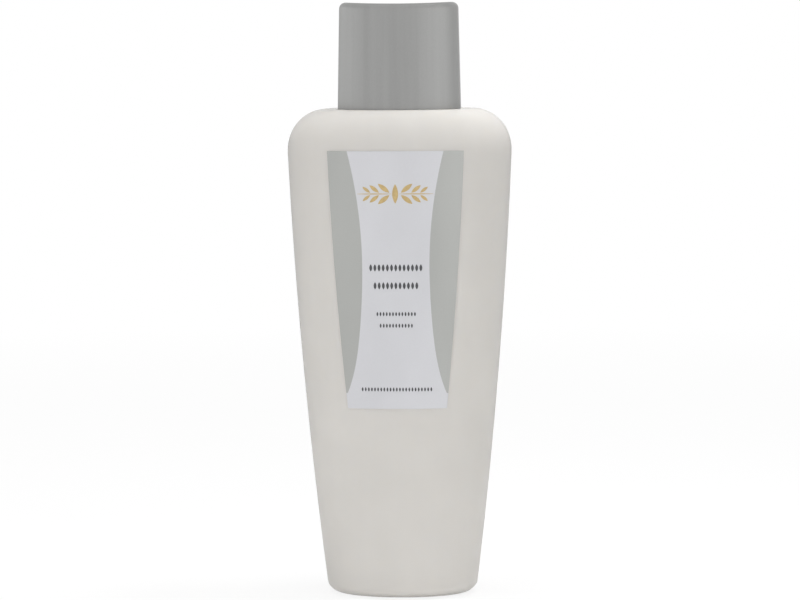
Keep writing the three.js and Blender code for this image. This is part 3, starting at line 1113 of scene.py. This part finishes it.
frosted = frosted_plastic()
ink = printed_ink("dark_ink", INK, metallic=0.0, rough=0.5)
bottle.data.materials.append(frosted)
weld.data.materials.append(frosted)
plug.data.materials.append(moulded_plastic(
    "soft_plastic", SOFT, rough=0.4, Subsurface_Weight=0.5, Subsurface_Scale=0.003,
    Subsurface_Radius=(1.0, 0.97, 0.92),
))
seal.data.materials.append(seal_foam())
cup.data.materials.append(moulded_plastic("white_plastic", CUP_WHITE, rough=0.48))
cover.data.materials.append(silver_plastic())
label.data.materials.append(label_film("label_pale", LABEL_PALE, metallic=0.15))
label.data.materials.append(label_film("label_grey", LABEL_GREY, metallic=0.75))
ornament.data.materials.append(printed_ink("gold_foil", GOLD, metallic=0.5, rough=0.36))
for row in bead_rows:
    row.data.materials.append(ink)

# Stage: pale floor, white background, soft lights in front and above, cards at the sides

FLOOR_SIZE = 24.0
FLOOR_STEPS = 24
FLOOR_DROP = 0.0002
WHITE_AT_OBJECT = 0.85  # how far the floor's shadow is lightened next to the object
SHADOW_REACH = (0.1, 0.7)  # the floor turns to plain white over this distance
AMBIENT = 0.28
MIDDLE = (0.0, 0.0, 0.072)  # what the lamps point at

# Name, place, width and height in metres and power in watts of each lamp
SOFT_LIGHTS = (
    ("key", (0.55, -1.2, 0.35), (1.1, 0.65), 5.5),
    ("fill", (-0.85, -1.06, 0.33), (1.1, 0.6), 5.2),
    ("top", (-0.08, 0.0, 0.85), (0.4, 0.4), 3.7),
    ("right_top", (0.12, 0.02, 0.42), (0.12, 0.12), 0.8),
)
CARDS = (
    ("right_card", (1.24, -0.72, 0.2), (2.8, 0.9), 5.8),
    ("left_card", (-1.41, 0.05, 0.2), (2.8, 0.9), 5.2),
    ("front_card", (-0.55, -1.3, 0.2), (0.4, 0.9), 0.4),
)


def make_floor():
    count = FLOOR_STEPS + 1
    grid = [-FLOOR_SIZE / 2 + FLOOR_SIZE * i / FLOOR_STEPS for i in range(count)]
    points = [(x, y, -FLOOR_DROP) for y in grid for x in grid]
    faces = []
    for r in range(FLOOR_STEPS):
        for c in range(FLOOR_STEPS):
            a = r * count + c
            faces.append((a, a + 1, a + count + 1, a + count))
    mesh = bpy.data.meshes.new("floor")
    mesh.from_pydata(points, [], faces)
    floor = bpy.data.objects.new("floor", mesh)
    bpy.context.scene.collection.objects.link(floor)
    return floor


def seen_directly(tree):
    """1 for rays that show the background: straight to the camera, mirrored or through a wall."""
    path = add_node(tree, "ShaderNodeLightPath", {}).outputs
    mirrored = combined(tree, "MAXIMUM", path["Is Camera Ray"], path["Is Glossy Ray"])
    return combined(tree, "MAXIMUM", mirrored, path["Is Transmission Ray"])


def floor_finish():
    """Pale floor with a lightened shadow, which turns to plain white away from the object."""
    material, tree, shader = new_finish("pale_floor")
    tone = tones(tree, noise(tree, 12.0), WHITE, 0.9, 0.93)
    rough = span(tree, noise(tree, 40.0), 0.7, 0.8)
    dress(shader, tree, tone, rough, bump(tree, [(noise(tree, 900.0), 0.02, 0.1)]))
    reach = add_node(
        tree, "ShaderNodeVectorMath", {0: coordinate(tree)}, operation="LENGTH"
    ).outputs["Value"]
    fade = span_over(tree, reach, SHADOW_REACH, (WHITE_AT_OBJECT, 1.0))
    share = combined(tree, "MULTIPLY", fade, seen_directly(tree))
    white = add_node(tree, "ShaderNodeEmission", {"Color": opaque(WHITE), "Strength": 1.0})
    both = add_node(tree, "ShaderNodeMixShader", {
        0: share, 1: shader.outputs[0], 2: white.outputs[0],
    })
    tree.links.new(both.outputs[0], tree.nodes["Material Output"].inputs["Surface"])
    return material


def light_world():
    world = bpy.data.worlds.new("studio")
    bpy.context.scene.world = world
    world.use_nodes = True
    tree = world.node_tree
    soft = tree.nodes["Background"]
    soft.inputs["Color"].default_value = opaque(WHITE)
    soft.inputs["Strength"].default_value = AMBIENT
    white = add_node(tree, "ShaderNodeBackground", {"Color": opaque(WHITE), "Strength": 1.0})
    both = add_node(tree, "ShaderNodeMixShader", {
        0: seen_directly(tree), 1: soft.outputs[0], 2: white.outputs[0],
    })
    tree.links.new(both.outputs[0], tree.nodes["World Output"].inputs["Surface"])


def soft_box(name, place, size, power, mirrored):
    """A rectangular lamp towards the object: a soft light, or a card that only shows mirrored."""
    lamp = bpy.data.lights.new(name, "AREA")
    lamp.shape = "RECTANGLE"
    lamp.size, lamp.size_y = size
    lamp.energy = power
    lamp_object = bpy.data.objects.new(name, lamp)
    lamp_object.visible_glossy = mirrored
    lamp_object.visible_diffuse = not mirrored
    bpy.context.scene.collection.objects.link(lamp_object)
    lamp_object.location = place
    towards = Vector(MIDDLE) - Vector(place)
    lamp_object.rotation_euler = towards.to_track_quat("-Z", "Y").to_euler()


make_floor().data.materials.append(floor_finish())
light_world()
for light in SOFT_LIGHTS:
    soft_box(*light, mirrored=False)
for card in CARDS:
    soft_box(*card, mirrored=True)

# Camera: slightly above the shoulder's height and to the right of the label, held a little askew

CAMERA_DISTANCE = 0.85
CAMERA_HEIGHT = 0.144
CAMERA_AZIMUTH = math.radians(3.9)
CAMERA_ROLL = math.radians(-0.386)
CAMERA_AIM = (-0.0002, 0.0, 0.07135)
SENSOR_WIDTH = 36.0
FRAME_WIDTH = 0.1943  # width that the picture covers at the middle of the object


def make_camera():
    camera = bpy.data.objects.new("camera", bpy.data.cameras.new("camera"))
    bpy.context.scene.collection.objects.link(camera)
    place = Vector((
        CAMERA_DISTANCE * math.sin(CAMERA_AZIMUTH),
        -CAMERA_DISTANCE * math.cos(CAMERA_AZIMUTH),
        CAMERA_HEIGHT,
    ))
    turn = (Vector(CAMERA_AIM) - place).to_track_quat("-Z", "Y").to_matrix()
    camera.location = place
    camera.rotation_euler = (turn @ Matrix.Rotation(CAMERA_ROLL, 3, "Z")).to_euler()
    camera.data.sensor_width = SENSOR_WIDTH
    camera.data.lens = SENSOR_WIDTH * CAMERA_DISTANCE / FRAME_WIDTH
    bpy.context.scene.camera = camera


make_camera()
bpy.context.scene.view_settings.view_transform = "Standard"
